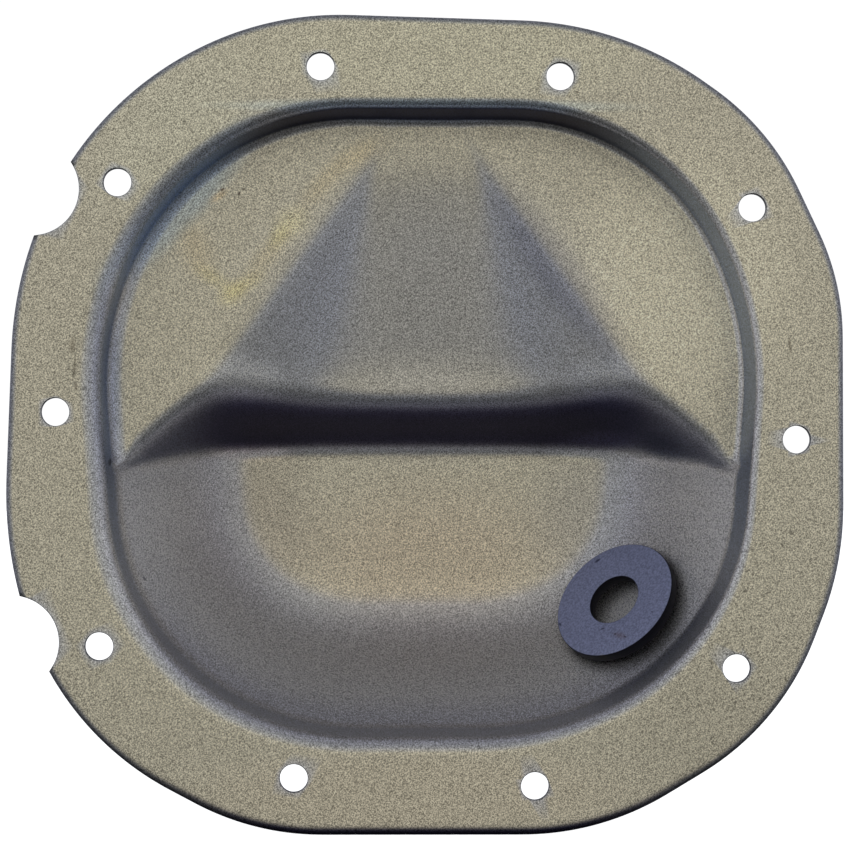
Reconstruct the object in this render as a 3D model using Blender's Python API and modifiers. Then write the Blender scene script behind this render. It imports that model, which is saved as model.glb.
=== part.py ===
"""Pressed steel differential cover with the ring magnet on the floor of its dish.

Frame, in metres: the mating face of the flange lies in the plane Y = 0 and looks along -Y,
the dish bulges towards +Y, +Z is up, and the origin is the centre of the bolt pattern.
"""

import math

import bmesh
import bpy
import numpy as np
from mathutils import Matrix, Vector

MM = 0.001

# Sheet
SHEET_THICKNESS = 2.4 * MM
RIM_ROUND = 0.9 * MM

# Flange outline: for each side the direction it faces in degrees, its distance from the
# bolt centre, and the radius of the corner that leads on to the next side
FLANGE_SIDES = (
    (0.0, 140.6 * MM, 83.0 * MM),
    (25.3, 148.1 * MM, 88.0 * MM),
    (54.9, 149.5 * MM, 114.0 * MM),
    (88.5, 137.9 * MM, 106.0 * MM),
    (117.8, 148.5 * MM, 111.0 * MM),
    (154.1, 147.6 * MM, 126.0 * MM),
    (178.0, 140.5 * MM, 136.0 * MM),
    (198.1, 147.9 * MM, 100.0 * MM),
    (241.9, 148.3 * MM, 91.0 * MM),
    (269.8, 137.1 * MM, 95.0 * MM),
    (300.8, 147.8 * MM, 91.0 * MM),
    (338.7, 147.8 * MM, 102.0 * MM),
)

# Two round reliefs in the left edge, each at its centre
NOTCH_CENTRES = ((-133.0 * MM, 79.7 * MM), (-139.3 * MM, -72.7 * MM))
NOTCH_RADIUS = 15.7 * MM

# Bolt holes: distance and angle of one quarter of the pattern, which is mirrored both ways
# and turned as a whole against the dish
HOLE_DIAMETER = 9.4 * MM
HOLE_PATTERN = ((125.1 * MM, 0.0), (132.7 * MM, 36.0), (126.6 * MM, 71.3))
HOLE_PATTERN_TURN = -2.1

# Wall of the dish, half way down it, given as the flange is
DISH_SIDES = (
    (-90.0, 104.0 * MM, 103.0 * MM),
    (-65.0, 111.2 * MM, 81.0 * MM),
    (-4.3, 109.7 * MM, 106.0 * MM),
    (25.0, 117.0 * MM, 79.5 * MM),
    (90.0, 106.5 * MM, 84.0 * MM),
    (155.0, 115.5 * MM, 102.0 * MM),
    (184.3, 108.9 * MM, 81.0 * MM),
    (245.0, 111.9 * MM, 94.0 * MM),
)
WALL_ANGLE = 85.5

# Bends at the top and the foot of the wall: radius inside the dish, and by what share they
# are wider at the left and narrower at the right
FLANGE_BEND = 5.0 * MM
FOOT_BEND = 3.8 * MM
BEND_LEAN = 0.35

# Floor of the dish, all depths from the mating face. A blend is the difference in height
# at which the rounding between two faces starts.
SHELF_DEPTH = 20.0 * MM
DOME_DEPTH = 66.0 * MM
DOME_SLOPE = 53.0
DOME_BLEND = 26.0 * MM
LEAST_BLEND = 0.5 * MM

# Trough that runs down the upper half between two flat shelves
TROUGH_TOP = (13.0 * MM, 101.0 * MM)
TROUGH_BOTTOM = (76.0 * MM, 14.6 * MM)
TROUGH_SIDE_SLOPE = 28.0
TROUGH_SIDE_BLEND = 15.0 * MM
TROUGH_DEPTH = 37.0 * MM
RAMP_START = 96.0 * MM
RAMP_SLOPE = 12.5
RAMP_START_BLEND = 4.0 * MM
RAMP_END_BLEND = 3.0 * MM
SHELF_EDGE_BLEND = 4.0 * MM

# Step from the upper half down into the dome: its foot is bowed down at the sides, and its
# roll is at most this many times as high as the step is there
STEP_FOOT = -5.7 * MM
STEP_BOW = 8.0 * MM
STEP_BOW_AT = 100.0 * MM
STEP_SLOPE = 66.5
STEP_ROLL = 20.0 * MM
ROLL_LIMIT = 1.6
STEP_FOOT_BLEND = 16.0 * MM

# Ring magnet on the lower right slope of the dome
MAGNET_OUTER = 46.0 * MM
MAGNET_INNER = 19.0 * MM
MAGNET_THICKNESS = 4.2 * MM
MAGNET_CHAMFER = 0.5 * MM
MAGNET_PLACE = (70.8 * MM, -64.4 * MM)
SEAT_GAP = 0.3 * MM

# Fineness of the mesh
STATIONS = 108
BEND_STEPS = 4
FLOOR_RINGS = 26
CURVE_SAMPLES = 16
FLAT_WITHIN = 1.0
HOLE_SIDES = 24
NOTCH_SIDES = 64
MAGNET_SIDES = 48
CUT_MARGIN = 2.0 * MM

STEEL = (0.36, 0.33, 0.26, 1.0)
FERRITE = (0.1, 0.11, 0.17, 1.0)


def start_scene(name):
    """An empty scene with one collection for the parts and one for the cutters."""
    for obj in list(bpy.data.objects):
        bpy.data.objects.remove(obj, do_unlink=True)
    parts = bpy.data.collections.new(name)
    cutters = bpy.data.collections.new(name + "_cutters")
    for collection in (parts, cutters):
        bpy.context.scene.collection.children.link(collection)
    cutters.hide_render = True
    return parts, cutters


def material(name, colour, metallic, roughness):
    """A plain Principled material."""
    made = bpy.data.materials.new(name)
    made.use_nodes = True
    shader = made.node_tree.nodes["Principled BSDF"]
    shader.inputs["Base Color"].default_value = colour
    shader.inputs["Metallic"].default_value = metallic
    shader.inputs["Roughness"].default_value = roughness
    made.diffuse_color = colour
    return made


def move_to(collection, obj):
    """Leaves the object in this collection only."""
    for other in list(obj.users_collection):
        other.objects.unlink(obj)
    collection.objects.link(obj)


def rounded_outline(sides):
    """Dense points of a closed outline of straight sides with round corners, counterclockwise."""
    points = []
    for index, (angle, distance, radius) in enumerate(sides):
        next_angle, next_distance, _ = sides[(index + 1) % len(sides)]
        start = math.radians(angle)
        turn = math.radians((next_angle - angle) % 360.0)
        end = start + turn
        corner = (
            np.array([math.sin(end), -math.cos(end)]) * distance
            - np.array([math.sin(start), -math.cos(start)]) * next_distance
        ) / math.sin(turn)
        middle = start + turn / 2
        reach = radius / math.cos(turn / 2)
        centre = corner - reach * np.array([math.cos(middle), math.sin(middle)])
        for angle_on_arc in np.linspace(start, end, CURVE_SAMPLES):
            points.append(centre + radius * np.array([math.cos(angle_on_arc), math.sin(angle_on_arc)]))
    return np.array(points)


def at_equal_angles(outline, count):
    """Points where this many equally spaced rays from the origin cross the outline."""
    closed = np.vstack([outline, outline[:1]])
    share = np.linspace(0.0, 1.0, CURVE_SAMPLES, endpoint=False)[:, None]
    fine = np.concatenate([a * (1 - share) + b * share for a, b in zip(closed[:-1], closed[1:])])
    angles = np.arctan2(fine[:, 1], fine[:, 0])
    order = np.argsort(angles)
    rays = np.arange(count) * 2 * math.pi / count
    wrapped = np.arctan2(np.sin(rays), np.cos(rays))
    reach = np.interp(wrapped, angles[order], np.hypot(*fine.T)[order], period=2 * math.pi)
    return np.stack([reach * np.cos(rays), reach * np.sin(rays)], axis=1)


def outward_normals(ring):
    """Unit normals of a closed ring of points, pointing out."""
    along = np.roll(ring, -1, axis=0) - np.roll(ring, 1, axis=0)
    normals = np.stack([along[:, 1], -along[:, 0]], axis=1)
    return normals / np.linalg.norm(normals, axis=1)[:, None]


def soft_min(first, second, reach):
    """The smaller of two heights, with the corner rounded over this reach."""
    near = np.maximum(1.0 - np.abs(first - second) / reach, 0.0)
    return np.minimum(first, second) - reach / 6.0 * near**3


def soft_max(first, second, reach):
    """The larger of two heights, with the corner rounded over this reach."""
    return -soft_min(-first, -second, reach)


def inset(points, outline):
    """Distance of each point inside the outline from its nearest segment."""
    starts = outline
    steps = np.roll(outline, -1, axis=0) - starts
    lengths = np.maximum((steps**2).sum(axis=1), 1e-18)
    found = np.full(len(points), np.inf)
    for start, step, length in zip(starts, steps, lengths):
        share = np.clip(((points - start) @ step) / length, 0.0, 1.0)
        gap = np.linalg.norm(points - start - share[:, None] * step, axis=1)
        found = np.minimum(found, gap)
    return found


def slope(degrees):
    return math.tan(math.radians(degrees))


def foot_inset():
    """How far inside the wall line the straight wall would meet a flat shelf."""
    return SHELF_DEPTH / 2 / slope(WALL_ANGLE)


def trough_height(x, z):
    """Depth of the trough: a ramp with a level end, between two sloping sides."""
    top_x, top_z = TROUGH_TOP
    bottom_x, bottom_z = TROUGH_BOTTOM
    edge = np.array([bottom_x - top_x, bottom_z - top_z])
    edge = edge / np.linalg.norm(edge)
    inside = -(np.abs(x) - top_x) * -edge[1] + (z - top_z) * -edge[0]
    sides = SHELF_DEPTH + slope(TROUGH_SIDE_SLOPE) * inside
    ramp = SHELF_DEPTH + slope(RAMP_SLOPE) * (RAMP_START - z)
    ramp = soft_max(ramp, SHELF_DEPTH, RAMP_START_BLEND)
    ramp = soft_min(ramp, TROUGH_DEPTH, RAMP_END_BLEND)
    share = (ramp - SHELF_DEPTH) / (TROUGH_DEPTH - SHELF_DEPTH)
    return soft_min(ramp, sides, np.maximum(TROUGH_SIDE_BLEND * share, LEAST_BLEND))


def floor_depth(points, outline):
    """Depth of the inner face of the floor below the mating face at each (x, z) point."""
    x, z = points[:, 0], points[:, 1]
    rise = slope(DOME_SLOPE) * (inset(points, outline) - foot_inset())
    dome = soft_min(SHELF_DEPTH + rise, DOME_DEPTH, DOME_BLEND)
    height = np.maximum(dome - SHELF_DEPTH, LEAST_BLEND)
    foot = STEP_FOOT - STEP_BOW * (x / STEP_BOW_AT) ** 4
    step = dome - slope(STEP_SLOPE) * (z - foot)
    ledge = soft_max(trough_height(x, z), SHELF_DEPTH, SHELF_EDGE_BLEND)
    upper = soft_max(step, ledge, np.minimum(STEP_ROLL, ROLL_LIMIT * height))
    share = height / (DOME_DEPTH - SHELF_DEPTH)
    return soft_min(dome, upper, np.maximum(STEP_FOOT_BLEND * share, LEAST_BLEND))


def wall_section(foot_depth, foot_rise, growth):
    """Insets and depths down one section of the wall: flange bend, wall, and foot bend.

    The foot bend runs into a floor line that has this depth at the wall line and rises
    by foot_rise for each unit of inset. Growth is how wide the bends are here.
    """
    flange_bend, foot_bend = FLANGE_BEND * growth, FOOT_BEND * growth
    wall = math.radians(WALL_ANGLE)
    middle = SHELF_DEPTH / 2
    bend_start = -middle / math.tan(wall) - flange_bend * math.tan(wall / 2)
    section = []
    for angle in np.linspace(0.0, wall, BEND_STEPS + 1):
        section.append((bend_start + flange_bend * math.sin(angle), flange_bend * (1 - math.cos(angle))))
    floor = math.atan(foot_rise)
    meet = (foot_depth - middle) / (math.tan(wall) - foot_rise)
    tangent = foot_bend * math.tan((wall - floor) / 2)
    centre_inset = meet - tangent * math.cos(wall) + foot_bend * math.sin(wall)
    centre_depth = middle + (meet - tangent * math.cos(wall)) * math.tan(wall) - foot_bend * math.cos(wall)
    for angle in np.linspace(wall, floor, BEND_STEPS + 1):
        section.append((centre_inset - foot_bend * math.sin(angle), centre_depth + foot_bend * math.cos(angle)))
    return section


def sheet_rings(outline):
    """Rings of (x, depth, z) points of the inner face, from the flange edge to the dish centre."""
    edge = at_equal_angles(rounded_outline(FLANGE_SIDES), STATIONS)
    wall = at_equal_angles(outline, STATIONS)
    normals = outward_normals(wall)
    growth = 1.0 - BEND_LEAN * normals[:, 0]
    near = foot_inset() + 0.8 * FOOT_BEND
    far = near + 0.5 * FOOT_BEND
    depth_near = floor_depth(wall - near * normals, outline)
    depth_far = floor_depth(wall - far * normals, outline)
    rises = (depth_far - depth_near) / (far - near)
    sections = [
        wall_section(depth - rise * near, rise, wider) for depth, rise, wider in zip(depth_near, rises, growth)
    ]
    rings = [np.column_stack([edge[:, 0], np.zeros(STATIONS), edge[:, 1]])]
    for level in zip(*sections):
        insets, depths = np.array(level).T
        plan = wall - insets[:, None] * normals
        rings.append(np.column_stack([plan[:, 0], depths, plan[:, 1]]))
    foot = rings[-1][:, [0, 2]]
    for share in np.linspace(1.0, 0.0, FLOOR_RINGS, endpoint=False)[1:]:
        plan = foot * share
        rings.append(np.column_stack([plan[:, 0], floor_depth(plan, outline), plan[:, 1]]))
    return rings


def add_quad(bm, corners):
    """Two triangles over four corners, split along the diagonal that bends the surface less."""
    splits = []
    for first in (0, 1):
        p, q, r, s = (corners[(first + turn) % 4] for turn in range(4))
        bend = (q.co - p.co).cross(r.co - p.co).angle((r.co - p.co).cross(s.co - p.co), 0.0)
        splits.append((bend, first, ((p, q, r), (p, r, s))))
    for triangle in min(splits)[2]:
        bm.faces.new(triangle)


def sheet_mesh(outline):
    """The inner face as one open surface, grown inwards ring by ring from the flange edge."""
    bm = bmesh.new()
    rings = [[bm.verts.new(point) for point in ring] for ring in sheet_rings(outline)]
    for outer, inner in zip(rings, rings[1:]):
        for index in range(STATIONS):
            after = (index + 1) % STATIONS
            add_quad(bm, (outer[index], outer[after], inner[after], inner[index]))
    centre_depth = float(floor_depth(np.zeros((1, 2)), outline)[0])
    centre = bm.verts.new((0.0, centre_depth, 0.0))
    for index in range(STATIONS):
        bm.faces.new((rings[-1][index], rings[-1][(index + 1) % STATIONS], centre))
    bmesh.ops.recalc_face_normals(bm, faces=bm.faces)
    if sum(face.normal.y for face in bm.faces) > 0:
        bmesh.ops.reverse_faces(bm, faces=bm.faces)
    bmesh.ops.dissolve_limit(bm, angle_limit=math.radians(FLAT_WITHIN), verts=bm.verts, edges=bm.edges)
    mesh = bpy.data.meshes.new("cover")
    bm.to_mesh(mesh)
    bm.free()
    return mesh


def cylinder_cutter(name, centre, radius, sides, collection):
    """A cylinder through the flange at this (x, z) point."""
    depth = SHEET_THICKNESS + 2 * CUT_MARGIN
    bpy.ops.mesh.primitive_cylinder_add(
        vertices=sides,
        radius=radius,
        depth=depth,
        location=(centre[0], SHEET_THICKNESS / 2, centre[1]),
        rotation=(math.pi / 2, 0.0, 0.0),
    )
    cutter = bpy.context.object
    cutter.name = name
    cutter.hide_render = True
    cutter.display_type = "WIRE"
    move_to(collection, cutter)


def hole_centres():
    """The ten bolt centres, from one quarter of the pattern."""
    centres = []
    for distance, angle in HOLE_PATTERN:
        turns = (0.0, 180.0) if angle == 0.0 else (angle, 180.0 - angle, 180.0 + angle, -angle)
        for turn in turns:
            direction = math.radians(turn + HOLE_PATTERN_TURN)
            centres.append((distance * math.cos(direction), distance * math.sin(direction)))
    return centres


def make_cover(outline, parts, cutters, steel):
    """The pressed cover: a thickened sheet with rounded rim, bolt holes and two edge reliefs."""
    cover = bpy.data.objects.new("cover", sheet_mesh(outline))
    parts.objects.link(cover)
    cover.data.materials.append(steel)
    sheet = cover.modifiers.new("sheet_thickness", "SOLIDIFY")
    sheet.thickness = SHEET_THICKNESS
    sheet.offset = -1.0
    sheet.use_even_offset = True
    rim = cover.modifiers.new("rim_round", "BEVEL")
    rim.width = RIM_ROUND
    rim.segments = 2
    rim.limit_method = "ANGLE"
    rim.angle_limit = math.radians(70.0)
    for index, centre in enumerate(hole_centres()):
        cylinder_cutter(f"hole_{index + 1}", centre, HOLE_DIAMETER / 2, HOLE_SIDES, cutters)
    for index, centre in enumerate(NOTCH_CENTRES):
        cylinder_cutter(f"notch_{index + 1}", centre, NOTCH_RADIUS, NOTCH_SIDES, cutters)
    punched = cover.modifiers.new("holes_and_notches", "BOOLEAN")
    punched.operation = "DIFFERENCE"
    punched.operand_type = "COLLECTION"
    punched.collection = cutters
    punched.solver = "EXACT"
    return cover


def magnet_seat(outline):
    """Centre and normal of the magnet's lower face, laid on the slope of the dome."""
    angles = np.arange(MAGNET_SIDES) * 2 * math.pi / MAGNET_SIDES
    circle = np.stack([np.cos(angles), np.sin(angles)], axis=1)
    place = np.array(MAGNET_PLACE)
    rim = place + circle * MAGNET_OUTER / 2 * math.cos(math.radians(DOME_SLOPE))
    fit = np.column_stack([rim, np.ones(len(rim))])
    across, up, level = np.linalg.lstsq(fit, floor_depth(rim, outline), rcond=None)[0]
    normal = Vector((across, -1.0, up)).normalized()
    side = normal.orthogonal().normalized()
    other = normal.cross(side)
    centre = Vector((place[0], across * place[0] + up * place[1] + level, place[1]))
    for _ in range(20):
        face = [
            centre + (side * c + other * s) * radius
            for radius in np.linspace(MAGNET_INNER / 2, MAGNET_OUTER / 2, 6)
            for c, s in circle
        ]
        plan = np.array([(point.x, point.z) for point in face])
        depths = np.array([point.y for point in face])
        clear = (floor_depth(plan, outline) - depths).min() * -normal.y
        centre += normal * (SEAT_GAP - clear)
    return centre, normal


def make_magnet(outline, parts, ferrite):
    """The ring magnet: a flat ring with broken edges, turned about its own axis."""
    outer, inner = MAGNET_OUTER / 2, MAGNET_INNER / 2
    top, cut = MAGNET_THICKNESS, MAGNET_CHAMFER
    profile = (
        (outer - cut, top),
        (outer, top - cut),
        (outer, cut),
        (outer - cut, 0.0),
        (inner + cut, 0.0),
        (inner, cut),
        (inner, top - cut),
        (inner + cut, top),
    )
    bm = bmesh.new()
    verts = [bm.verts.new((radius, 0.0, height)) for radius, height in profile]
    for index, vert in enumerate(verts):
        bm.edges.new((vert, verts[(index + 1) % len(verts)]))
    mesh = bpy.data.meshes.new("ring_magnet")
    bm.to_mesh(mesh)
    bm.free()
    magnet = bpy.data.objects.new("ring_magnet", mesh)
    parts.objects.link(magnet)
    mesh.materials.append(ferrite)
    turn = magnet.modifiers.new("turned_ring", "SCREW")
    turn.axis = "Z"
    turn.angle = 2 * math.pi
    turn.steps = MAGNET_SIDES
    turn.render_steps = MAGNET_SIDES
    turn.use_merge_vertices = True
    turn.merge_threshold = 1e-5
    turn.use_smooth_shade = False
    centre, normal = magnet_seat(outline)
    magnet.matrix_world = Matrix.Translation(centre) @ normal.to_track_quat("Z", "Y").to_matrix().to_4x4()
    return magnet


def main():
    parts, cutters = start_scene("differential_cover")
    steel = material("pressed_steel", STEEL, 1.0, 0.55)
    ferrite = material("ferrite", FERRITE, 0.0, 0.6)
    outline = rounded_outline(DISH_SIDES)
    make_cover(outline, parts, cutters, steel)
    make_magnet(outline, parts, ferrite)


main()
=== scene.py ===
"""The looks of a pressed steel differential cover with a ring magnet lying in its dish.

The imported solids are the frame. Both of them are faceted, so each gets a fine piece of the same
sizes that stands for it: the cover as one continuous pressed sheet, and the magnet as a turned
ring with its chips. Lengths are in metres, the mating face lies in the plane Y = 0 and looks
along -Y, and +Z is up.
"""

import logging
import math
from dataclasses import dataclass
from enum import Enum
from typing import Any, Sequence

import bpy
import numpy as np
from mathutils import Matrix, Vector


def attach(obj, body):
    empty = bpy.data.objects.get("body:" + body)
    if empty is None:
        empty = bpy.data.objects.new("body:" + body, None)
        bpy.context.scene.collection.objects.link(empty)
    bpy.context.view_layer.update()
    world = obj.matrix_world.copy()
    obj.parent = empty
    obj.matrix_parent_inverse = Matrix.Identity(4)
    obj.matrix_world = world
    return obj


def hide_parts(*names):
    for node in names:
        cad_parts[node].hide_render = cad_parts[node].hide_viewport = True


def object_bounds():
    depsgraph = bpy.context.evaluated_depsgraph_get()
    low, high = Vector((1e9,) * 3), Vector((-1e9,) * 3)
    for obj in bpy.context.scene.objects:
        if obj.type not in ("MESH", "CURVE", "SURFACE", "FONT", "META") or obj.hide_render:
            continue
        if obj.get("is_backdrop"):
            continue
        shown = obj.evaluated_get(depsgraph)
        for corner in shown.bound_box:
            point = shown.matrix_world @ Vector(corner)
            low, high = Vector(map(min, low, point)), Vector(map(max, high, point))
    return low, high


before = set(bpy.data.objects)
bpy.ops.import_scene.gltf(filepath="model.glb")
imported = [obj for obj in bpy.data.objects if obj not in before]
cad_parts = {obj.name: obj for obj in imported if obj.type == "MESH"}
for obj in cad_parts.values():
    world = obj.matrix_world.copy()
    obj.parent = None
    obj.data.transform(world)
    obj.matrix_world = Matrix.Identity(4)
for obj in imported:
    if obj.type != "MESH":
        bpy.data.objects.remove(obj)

LOG = logging.getLogger("differential_cover")
MM = 0.001
QUARTER_TURN = math.pi / 2
LEAST_LENGTH = 1e-12
PATTERN_TURN = (0.6, 0.9, 0.4)
WHITE = (1.0, 1.0, 1.0)
SPOT_DEPTH = 1.0
END_FACING = 0.9
GRAIN_DETAIL = 3.0
GRAIN_RANGE = (0.3, 0.7)
# A mix node has sockets of the same name for each kind of value. These are the ones for colours.
MIX_INPUTS = (0, 6, 7)
MIX_OUTPUT = 2

Colour = tuple[float, float, float]
Pair = tuple[float, float]
Point = tuple[float, float, float]
Piece = bpy.types.Object
Material = bpy.types.Material
Node = bpy.types.Node
NodeTree = bpy.types.NodeTree
Socket = bpy.types.NodeSocket
Range = tuple[Socket | float, Socket | float]
Array = np.ndarray


class CadNode(Enum):
    """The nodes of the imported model."""

    COVER = "cover"
    MAGNET = "ring_magnet"


class Slot(Enum):
    """The record's material slots."""

    STEEL = "steel"
    FERRITE = "ferrite"


class Mask(Enum):
    """Shares kept on a piece's points. Most tell its material where to paint shade or light by how
    a face tilts or where it lies; inner marks the sheet's inner face, and face the ring's front
    face.
    """

    # Painted shade: faces that tilt away from the front, walls, faces that look down, the wall's
    # foot, the flange's rolled edge and the punched walls. Painted light: steeply sloping sides.
    TILT_SHADE = "tilt_shade"
    STEEP_LIGHT = "steep"
    WALL = "wall"
    UNDER_SHADE = "under"
    INNER = "inner"
    FOOT_SHADE = "foot"
    RIM_SHADE = "rim"
    CUT = "cut"
    # The ring's front face, which gets painted sheen.
    FACE = "face"


class Blend(Enum):
    """How two colours are mixed in a material."""

    MIX = "MIX"
    MULTIPLY = "MULTIPLY"


def soft_min(first: Array, second: Array | float, reach: Array | float) -> Array:
    """The smaller of two heights, with the corner rounded.

    Args:
        first: heights of one surface.
        second: heights of the other.
        reach: the difference in height at which the rounding starts.

    Returns:
        The heights of the joined surface.
    """
    near = np.maximum(1.0 - np.abs(first - second) / reach, 0.0)
    return np.minimum(first, second) - reach / 6.0 * near**3


def soft_max(first: Array, second: Array | float, reach: Array | float) -> Array:
    """The larger of two heights, with the corner rounded as soft_min does."""
    return -soft_min(-first, -second, reach)


def slope(degrees: float) -> float:
    """Rise per unit of run of a face at this angle."""
    return math.tan(math.radians(degrees))


def smooth_share(values: Array, low: float, high: float) -> Array:
    """Share that runs from 0 at one value to 1 at another, with smooth ends."""
    share = np.clip((values - low) / (high - low), 0.0, 1.0)
    return share * share * (3.0 - 2.0 * share)


def point_places(mesh: bpy.types.Mesh) -> Array:
    """Places of a mesh's points, one row each.

    Args:
        mesh: the mesh.

    Returns:
        One (x, y, z) row for each point.
    """
    places = np.zeros(len(mesh.vertices) * 3)
    mesh.vertices.foreach_get("co", places)
    return places.reshape(-1, 3)


def point_normals(mesh: bpy.types.Mesh) -> Array:
    """Normals of a mesh's points, one row each.

    Args:
        mesh: the mesh.

    Returns:
        One unit vector for each point.
    """
    normals = np.zeros(len(mesh.vertices) * 3)
    mesh.vertex_normals.foreach_get("vector", normals)
    return normals.reshape(-1, 3)


def store(piece: Piece, mask: Mask, shares: Array) -> None:
    """Keeps one share for each point of a piece."""
    layer = piece.data.attributes.new(mask.value, "FLOAT", "POINT")
    layer.data.foreach_set("value", shares.astype(np.float32))


def deselect() -> None:
    """Leaves object mode's selection empty, so that an operator acts on the new piece alone."""
    bpy.ops.object.select_all(action="DESELECT")


def choose(piece: Piece) -> None:
    """Selects one piece alone and makes it active.

    Args:
        piece: the piece.
    """
    deselect()
    piece.select_set(True)
    bpy.context.view_layer.objects.active = piece


def smooth(piece: Piece, degrees: float) -> None:
    """Shades a piece smooth, with an edge wherever two faces meet at more than this angle.

    Args:
        piece: the piece.
        degrees: the angle.
    """
    choose(piece)
    bpy.ops.object.shade_smooth_by_angle(angle=math.radians(degrees))
    deselect()


def apply_modifier(piece: Piece, name: str) -> None:
    """Applies one modifier of a piece.

    Args:
        piece: the piece.
        name: the modifier's name.
    """
    choose(piece)
    bpy.ops.object.modifier_apply(modifier=name)
    deselect()


def settle(piece: Piece) -> None:
    """Moves a piece's place, turn and scale into its mesh, so that its object sits at the origin.

    Args:
        piece: the piece.
    """
    choose(piece)
    bpy.ops.object.transform_apply(location=True, rotation=True, scale=True)
    deselect()


@dataclass(frozen=True)
class RoundedOutline:
    """A closed outline of straight sides with round corners.

    Each side is the direction that it faces in degrees, its distance from the origin, and the
    radius of the corner that leads on to the next side.
    """

    sides: tuple[tuple[float, float, float], ...]
    arc_points: int = 48
    chord_points: int = 12

    def points(self) -> Array:
        """Dense points of the outline, counterclockwise.

        Returns:
            One (x, z) row for each point.
        """
        found = []
        for index, (angle, distance, radius) in enumerate(self.sides):
            next_angle, next_distance, _ = self.sides[(index + 1) % len(self.sides)]
            start = math.radians(angle)
            turn = math.radians((next_angle - angle) % 360.0)
            end = start + turn
            corner = (
                np.array([math.sin(end), -math.cos(end)]) * distance
                - np.array([math.sin(start), -math.cos(start)]) * next_distance
            ) / math.sin(turn)
            middle = start + turn / 2
            reach = radius / math.cos(turn / 2)
            centre = corner - reach * np.array([math.cos(middle), math.sin(middle)])
            for on_arc in np.linspace(start, end, self.arc_points):
                found.append(centre + radius * np.array([math.cos(on_arc), math.sin(on_arc)]))
        return np.array(found)

    def at_equal_angles(self, count: int) -> Array:
        """Points where equally spaced rays from the origin cross the outline.

        Args:
            count: how many rays.

        Returns:
            One (x, z) point for each ray, counterclockwise from +X.
        """
        outline = self.points()
        closed = np.vstack([outline, outline[:1]])
        share = np.linspace(0.0, 1.0, self.chord_points, endpoint=False)[:, None]
        chords = zip(closed[:-1], closed[1:])
        fine = np.concatenate([start * (1 - share) + end * share for start, end in chords])
        angles = np.arctan2(fine[:, 1], fine[:, 0])
        order = np.argsort(angles)
        rays = np.arange(count) * 2 * math.pi / count
        wrapped = np.arctan2(np.sin(rays), np.cos(rays))
        reach = np.interp(wrapped, angles[order], np.hypot(*fine.T)[order], period=2 * math.pi)
        return np.stack([reach * np.cos(rays), reach * np.sin(rays)], axis=1)


@dataclass(frozen=True)
class FloorRelief:
    """The relief of the dish: two shelves, the trough between them, the step and the dome."""

    shelf_depth: float = 20.0 * MM
    dome_depth: float = 66.0 * MM
    dome_slope: float = 53.0
    dome_blend: float = 26.0 * MM
    wall_angle: float = 85.5
    trough_top: Pair = (13.0 * MM, 101.0 * MM)
    trough_bottom: Pair = (76.0 * MM, 14.6 * MM)
    trough_side_slope: float = 28.0
    trough_side_blend: float = 15.0 * MM
    trough_depth: float = 37.0 * MM
    ramp_start: float = 96.0 * MM
    ramp_slope: float = 12.5
    ramp_start_blend: float = 4.0 * MM
    ramp_end_blend: float = 3.0 * MM
    shelf_edge_blend: float = 4.0 * MM
    step_foot: float = -5.7 * MM
    step_bow: float = 8.0 * MM
    step_bow_at: float = 100.0 * MM
    step_slope: float = 66.5
    step_roll: float = 20.0 * MM
    roll_limit: float = 1.6
    step_foot_blend: float = 16.0 * MM
    least_blend: float = 0.5 * MM

    def foot_inset(self) -> float:
        """How far inside the wall line the straight wall would meet a flat shelf."""
        return self.shelf_depth / 2 / slope(self.wall_angle)

    def trough_height(self, x: Array, z: Array) -> Array:
        """Depth of the trough: a ramp with a level end, between two sloping sides.

        Args:
            x: places across the dish.
            z: places up the dish.

        Returns:
            One depth for each place.
        """
        top_x, top_z = self.trough_top
        bottom_x, bottom_z = self.trough_bottom
        edge = np.array([bottom_x - top_x, bottom_z - top_z])
        edge = edge / np.linalg.norm(edge)
        inside = -(np.abs(x) - top_x) * -edge[1] + (z - top_z) * -edge[0]
        sides = self.shelf_depth + slope(self.trough_side_slope) * inside
        ramp = self.shelf_depth + slope(self.ramp_slope) * (self.ramp_start - z)
        ramp = soft_max(ramp, self.shelf_depth, self.ramp_start_blend)
        ramp = soft_min(ramp, self.trough_depth, self.ramp_end_blend)
        share = (ramp - self.shelf_depth) / (self.trough_depth - self.shelf_depth)
        return soft_min(ramp, sides, np.maximum(self.trough_side_blend * share, self.least_blend))

    def depth(self, points: Array, inset: Array) -> Array:
        """Depth of the floor's inner face below the mating face.

        Args:
            points: (x, z) points inside the wall line.
            inset: the distance of each from the wall line.

        Returns:
            One depth for each point.
        """
        x, z = points[:, 0], points[:, 1]
        rise = slope(self.dome_slope) * (inset - self.foot_inset())
        dome = soft_min(self.shelf_depth + rise, self.dome_depth, self.dome_blend)
        height = np.maximum(dome - self.shelf_depth, self.least_blend)
        foot = self.step_foot - self.step_bow * (x / self.step_bow_at) ** 4
        step = dome - slope(self.step_slope) * (z - foot)
        ledge = soft_max(self.trough_height(x, z), self.shelf_depth, self.shelf_edge_blend)
        upper = soft_max(step, ledge, np.minimum(self.step_roll, self.roll_limit * height))
        share = height / (self.dome_depth - self.shelf_depth)
        return soft_min(dome, upper, np.maximum(self.step_foot_blend * share, self.least_blend))


def distance_inside(points: Array, outline: Array) -> Array:
    """Distance of each point inside a closed outline from its nearest segment.

    Args:
        points: (x, z) points.
        outline: the corners of the outline.

    Returns:
        One distance for each point.
    """
    found = np.full(len(points), np.inf)
    for start, step in zip(outline, np.roll(outline, -1, axis=0) - outline):
        square = max(float(step @ step), LEAST_LENGTH**2)
        share = np.clip(((points - start) @ step) / square, 0.0, 1.0)
        gap = np.linalg.norm(points - start - share[:, None] * step, axis=1)
        found = np.minimum(found, gap)
    return found


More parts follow.
